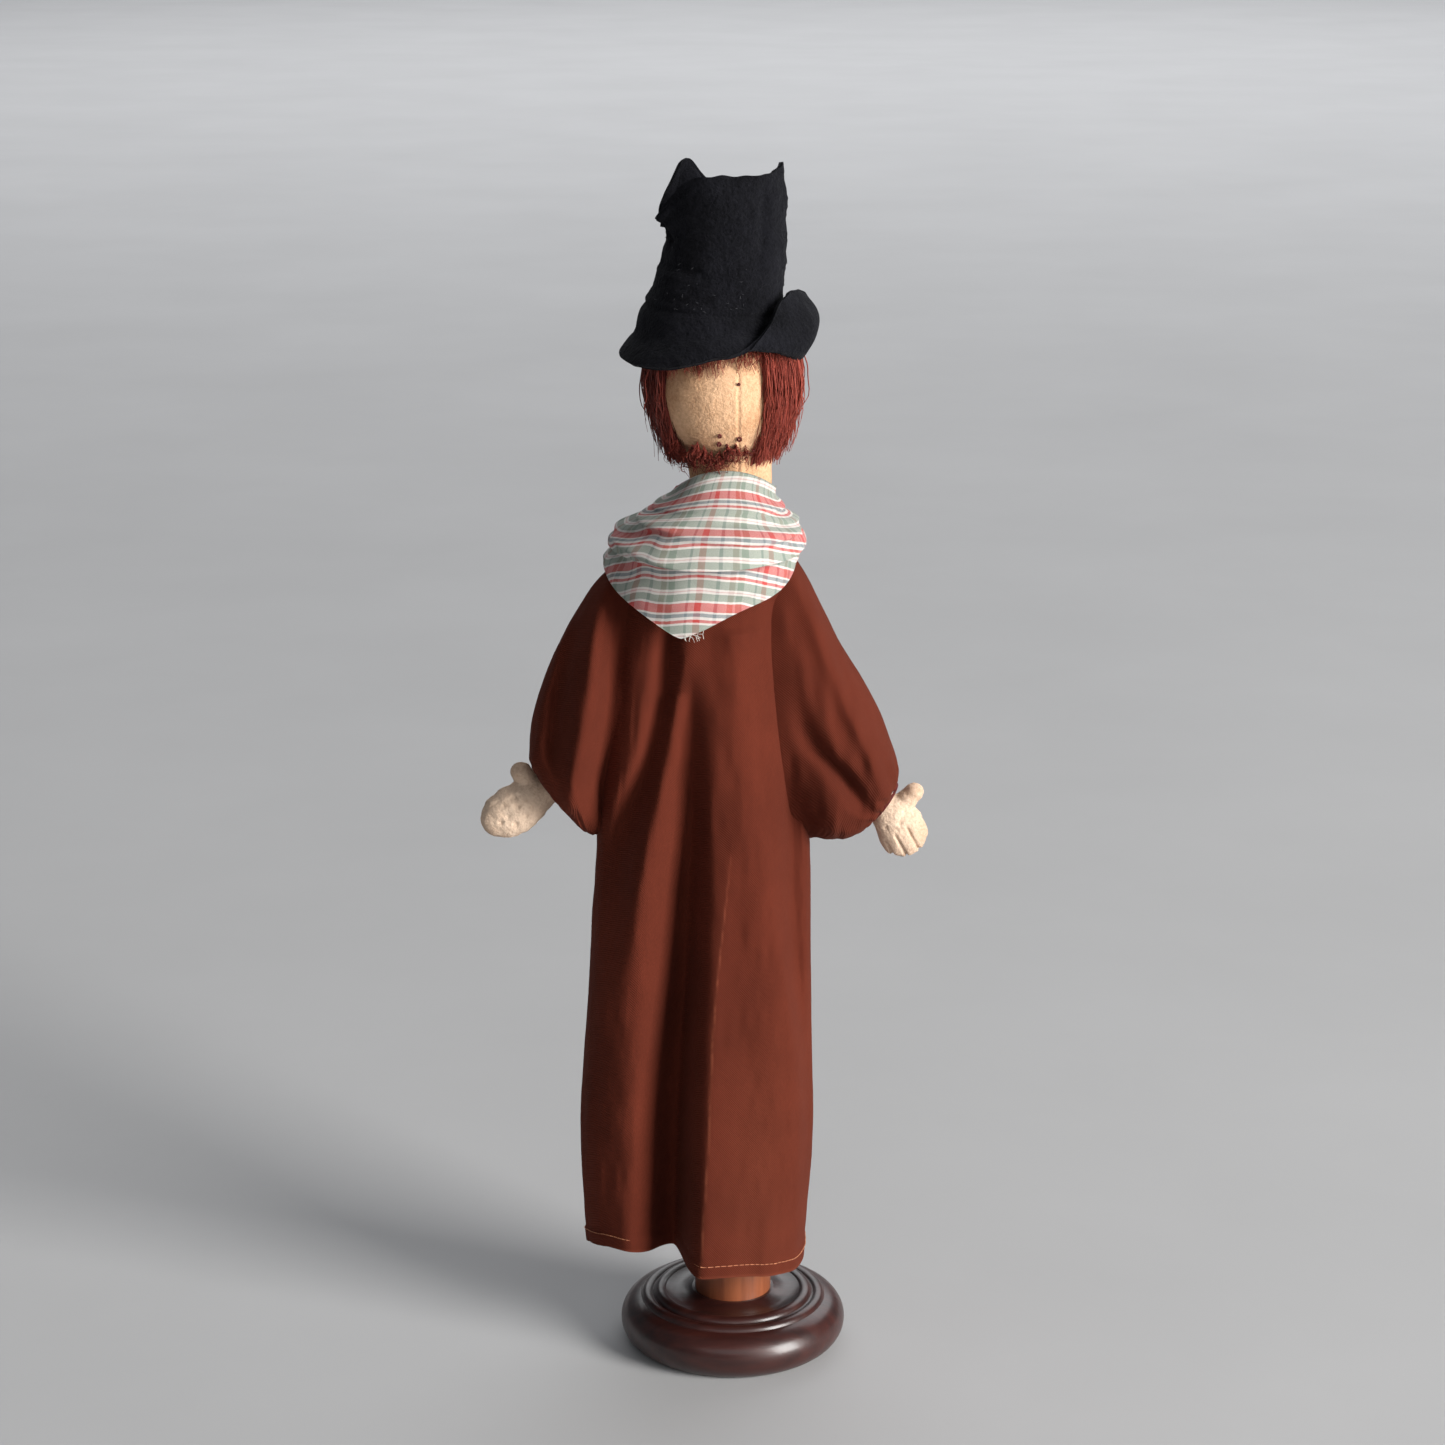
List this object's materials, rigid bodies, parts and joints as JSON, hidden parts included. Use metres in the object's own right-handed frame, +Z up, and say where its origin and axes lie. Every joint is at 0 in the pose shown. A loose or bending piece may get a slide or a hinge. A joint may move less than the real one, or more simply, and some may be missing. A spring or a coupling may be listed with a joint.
{
  "type": "glove puppet on a display stand",
  "caption": "Felt-headed hand puppet in a long cloth robe, tall felt hat and checked neckerchief, slipped over a round wooden post on a turned base.",
  "frame": {"origin": "centre of the stand's underside", "axes": "+Z up along the post, +Y the way the puppet faces, -X the puppet's left hand"},
  "size_m": [0.1847, 0.0936, 0.489],
  "materials": {
    "base_wood": "gloss",
    "post_wood": "satin",
    "baize": "matt",
    "screw_steel": "satin",
    "card": "matt",
    "robe_cotton": "matt",
    "check_cotton": "matt",
    "skin_felt": "matt",
    "stuffing": "matt",
    "face_thread": "satin",
    "bead": "gloss",
    "mohair": "satin",
    "hat_felt": "matt",
    "thread": "matt"
  },
  "bodies": {
    "stand": {"stand_base": "base_wood", "base_baize": "baize", "post": "post_wood", "post_screw": "screw_steel"},
    "finger_tube": {"neck_tube": "card"},
    "torso": {"robe_back": "robe_cotton", "robe_front": "robe_cotton", "neckerchief": "check_cotton"},
    "head": {"head_felt_left": "skin_felt", "head_felt_right": "skin_felt", "head_stuffing": "stuffing", "nose": "skin_felt", "eye_left": "bead", "eye_right": "bead", "mouth": "face_thread", "hair_left": "mohair", "hair_right": "mohair", "hair_nape": "mohair", "hair_front": "mohair", "hair_crown": "mohair", "hat_crown": "hat_felt", "hat_top": "hat_felt", "hat_brim": "hat_felt"},
    "arm_left": {"sleeve_left": "robe_cotton", "gathering_thread_left": "thread"},
    "arm_right": {"sleeve_right": "robe_cotton", "gathering_thread_right": "thread"},
    "hand_left": {"hand_left_palm_felt": "skin_felt", "hand_left_back_felt": "skin_felt", "hand_left_stuffing": "stuffing"},
    "hand_right": {"hand_right_palm_felt": "skin_felt", "hand_right_back_felt": "skin_felt", "hand_right_stuffing": "stuffing"}
  },
  "joints": [
    {"name": "puppet_lift", "type": "slide", "parent": "stand", "child": "finger_tube", "axis": [0, 0, 1], "range_m": [0, 0.39]},
    {"name": "puppet_swivel", "type": "hinge", "parent": "finger_tube", "child": "torso", "pos_m": [0, 0, 0.37], "axis": [0, 0, 1], "continuous": true},
    {"name": "head_turn", "type": "hinge", "parent": "torso", "child": "head", "pos_m": [0, 0, 0.37], "axis": [0, 0, 1], "range_deg": [-40, 40]},
    {"name": "arm_left_raise", "type": "hinge", "parent": "torso", "child": "arm_left", "pos_m": [-0.048, 0, 0.329], "axis": [0, 1, 0], "range_deg": [0, 55]},
    {"name": "arm_right_raise", "type": "hinge", "parent": "torso", "child": "arm_right", "pos_m": [0.024, 0, 0.329], "axis": [0, -1, 0], "range_deg": [0, 55]},
    {"name": "wrist_left", "type": "hinge", "parent": "arm_left", "child": "hand_left", "pos_m": [-0.073, 0, 0.2403], "axis": [0, 1, 0], "range_deg": [-20, 10]},
    {"name": "wrist_right", "type": "hinge", "parent": "arm_right", "child": "hand_right", "pos_m": [0.06, 0, 0.234], "axis": [0, -1, 0], "range_deg": [-10, 20]}
  ]
}
